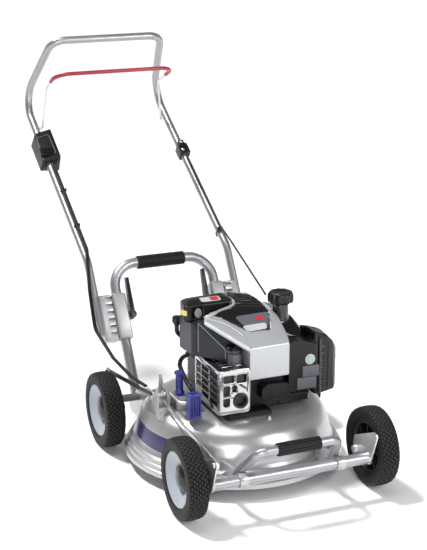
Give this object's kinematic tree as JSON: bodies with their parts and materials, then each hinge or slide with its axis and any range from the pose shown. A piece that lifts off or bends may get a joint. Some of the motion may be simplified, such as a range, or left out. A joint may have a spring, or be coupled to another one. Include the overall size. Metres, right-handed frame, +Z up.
{
  "type": "rotary mower",
  "caption": "Walk-behind mulching lawn mower with a round domed deck, petrol engine, crank-mounted wheels, folding handlebar, stop bail and cutting-height lever.",
  "frame": {"origin": "centre of the bounding box in X and Y, on the ground", "axes": "+Z up, -Y towards the front of the mower, +X to the right as seen from the front"},
  "size_m": [0.607, 1.4806, 0.9644],
  "materials": {
    "tyre": "black rubber",
    "rim": "pale grey moulded plastic",
    "cap": "black",
    "deck": "silver painted",
    "tube": "silver painted",
    "axle": "zinc plated",
    "axle_dark": "grey",
    "casting": "bare casting",
    "grip": "black ribbed",
    "black": "black",
    "gloss": "black gloss",
    "silver": "silver",
    "grey": "dark grey",
    "steel": "bare steel",
    "chrome": "polished",
    "zinc": "zinc plated",
    "link_dark": "dark grey",
    "blue": "dark blue",
    "red": "red",
    "muffler": "sooty",
    "engine": "black painted casting"
  },
  "bodies": {
    "chassis": {"deck": "deck", "front_lug_left": "casting", "front_lug_right": "casting", "front_lift_handle": "tube", "front_lift_grip": "grip", "lift_handle": "tube", "lift_grip": "grip", "rear_bracket_left": "casting", "rear_bracket_right": "casting", "handle_clamp_left": "casting", "handle_clamp_right": "casting", "height_bracket": "casting", "engine_base": "engine", "muffler_guard": "chrome", "muffler": "muffler", "cooling_shroud": "silver", "shroud_insert": "black", "side_housing": "grey", "fuel_tank": "gloss", "air_cleaner": "black", "engine_hose": "grip"},
    "front_crank": {"front_axle": "axle"},
    "rear_crank": {"rear_axle": "axle_dark"},
    "front_rod": {"front_link": "zinc"},
    "rear_rod": {"rear_link": "link_dark"},
    "lever": {"height_lever": "zinc", "height_grip": "blue"},
    "plunger": {"height_plunger": "blue"},
    "rotor": {"crankshaft": "steel", "blade_hub": "casting", "blade": "steel", "blade_bolt": "zinc"},
    "battery": {"battery_pack": "black"},
    "latch": {"battery_latch": "grey"},
    "fuel_lid": {"fuel_cap": "black"},
    "oil_lid": {"oil_cap": "black"},
    "filter_lid": {"air_cover": "black"},
    "bar": {"handlebar": "tube", "handle_shoe_left": "casting", "handle_shoe_right": "casting", "control_box": "black", "cable_bracket": "black", "cable_left": "grip", "cable_right": "grip"},
    "stop_bail": {"bail": "zinc", "bail_sleeve": "red"},
    "cam_left": {"cam_lever_left": "black"},
    "cam_right": {"cam_lever_right": "black"},
    "wheel_front_left": {"tyre_front_left": "tyre", "rim_front_left": "rim", "hub_cap_front_left": "cap"},
    "wheel_front_right": {"tyre_front_right": "tyre", "rim_front_right": "rim", "hub_cap_front_right": "cap"},
    "wheel_rear_left": {"tyre_rear_left": "tyre", "rim_rear_left": "rim", "hub_cap_rear_left": "cap"},
    "wheel_rear_right": {"tyre_rear_right": "tyre", "rim_rear_right": "rim", "hub_cap_rear_right": "cap"}
  },
  "joints": [
    {"name": "height_lever_swing", "type": "hinge", "parent": "chassis", "child": "lever", "pos_m": [-0.179, -0.3643, 0.20248], "axis": [-1, 0, 0], "range_deg": [0, 90]},
    {"name": "front_crank_swing", "type": "hinge", "parent": "chassis", "child": "front_crank", "pos_m": [0, -0.6893, 0.09648], "axis": [1, 0, 0], "range_deg": [0, 23.7]},
    {"name": "rear_crank_swing", "type": "hinge", "parent": "chassis", "child": "rear_crank", "pos_m": [0, -0.0843, 0.09048], "axis": [1, 0, 0], "range_deg": [-18.8, 0]},
    {"name": "front_link_swing", "type": "hinge", "parent": "front_crank", "child": "front_rod", "pos_m": [-0.2, -0.7163, 0.15848], "axis": [1, 0, 0], "range_deg": [-21.19, 0]},
    {"name": "rear_link_swing", "type": "hinge", "parent": "rear_crank", "child": "rear_rod", "pos_m": [-0.234, -0.0633, 0.16448], "axis": [1, 0, 0], "range_deg": [0, 16.91]},
    {"name": "wheel_front_left_spin", "type": "hinge", "parent": "front_crank", "child": "wheel_front_left", "pos_m": [-0.2465, -0.6323, 0.09848], "axis": [1, 0, 0], "continuous": true},
    {"name": "wheel_front_right_spin", "type": "hinge", "parent": "front_crank", "child": "wheel_front_right", "pos_m": [0.2465, -0.6323, 0.09848], "axis": [1, 0, 0], "continuous": true},
    {"name": "wheel_rear_left_spin", "type": "hinge", "parent": "rear_crank", "child": "wheel_rear_left", "pos_m": [-0.278, -0.1543, 0.09848], "axis": [1, 0, 0], "continuous": true},
    {"name": "wheel_rear_right_spin", "type": "hinge", "parent": "rear_crank", "child": "wheel_rear_right", "pos_m": [0.278, -0.1543, 0.09848], "axis": [1, 0, 0], "continuous": true},
    {"name": "handlebar_fold", "type": "hinge", "parent": "chassis", "child": "bar", "pos_m": [0, 0.0917, 0.26048], "axis": [1, 0, 0], "range_deg": [0, 118], "deforming": ["cable_left", "cable_right"]},
    {"name": "bail_squeeze", "type": "hinge", "parent": "bar", "child": "stop_bail", "pos_m": [0, 0.6527, 0.68608], "axis": [-1, 0, 0], "range_deg": [0, 22], "stiffness_Nm_per_rad": 2, "springref_deg": -17.19},
    {"name": "cam_left_open", "type": "hinge", "parent": "chassis", "child": "cam_left", "pos_m": [-0.114, 0.0917, 0.26048], "axis": [0, 0.8519, -0.5237], "range_deg": [0, 80]},
    {"name": "cam_right_open", "type": "hinge", "parent": "chassis", "child": "cam_right", "pos_m": [0.114, 0.0917, 0.26048], "axis": [0, -0.8519, 0.5237], "range_deg": [0, 80]},
    {"name": "height_plunger_pull", "type": "slide", "parent": "chassis", "child": "plunger", "axis": [0, 0, 1], "range_m": [0, 0.008], "stiffness_N_per_m": 500, "springref_m": -0.004},
    {"name": "rotor_spin", "type": "hinge", "parent": "chassis", "child": "rotor", "pos_m": [0, -0.3463, 0.05848], "axis": [0, 0, 1], "continuous": true},
    {"name": "battery_lift_out", "type": "slide", "parent": "chassis", "child": "battery", "axis": [0, 0, 1], "range_m": [0, 0.06]},
    {"name": "battery_latch_press", "type": "slide", "parent": "battery", "child": "latch", "axis": [0, 1, 0], "range_m": [0, 0.0025], "stiffness_N_per_m": 400, "springref_m": -0.002},
    {"name": "fuel_cap_turn", "type": "hinge", "parent": "chassis", "child": "fuel_lid", "pos_m": [0.108, -0.3923, 0.41848], "axis": [0, 0, 1], "range_deg": [0, 120]},
    {"name": "oil_cap_turn", "type": "hinge", "parent": "chassis", "child": "oil_lid", "pos_m": [-0.129, -0.2873, 0.36348], "axis": [0, 0, 1], "range_deg": [0, 120]},
    {"name": "air_cover_pull", "type": "slide", "parent": "chassis", "child": "filter_lid", "axis": [1, 0, 0], "range_m": [0, 0.05]}
  ],
  "couplings": [
    {"joint": "front_crank_swing", "follows": "height_lever_swing", "ratio": 0.262},
    {"joint": "rear_crank_swing", "follows": "height_lever_swing", "ratio": -0.2078},
    {"joint": "front_link_swing", "follows": "height_lever_swing", "ratio": -0.2343},
    {"joint": "rear_link_swing", "follows": "height_lever_swing", "ratio": 0.1868}
  ]
}
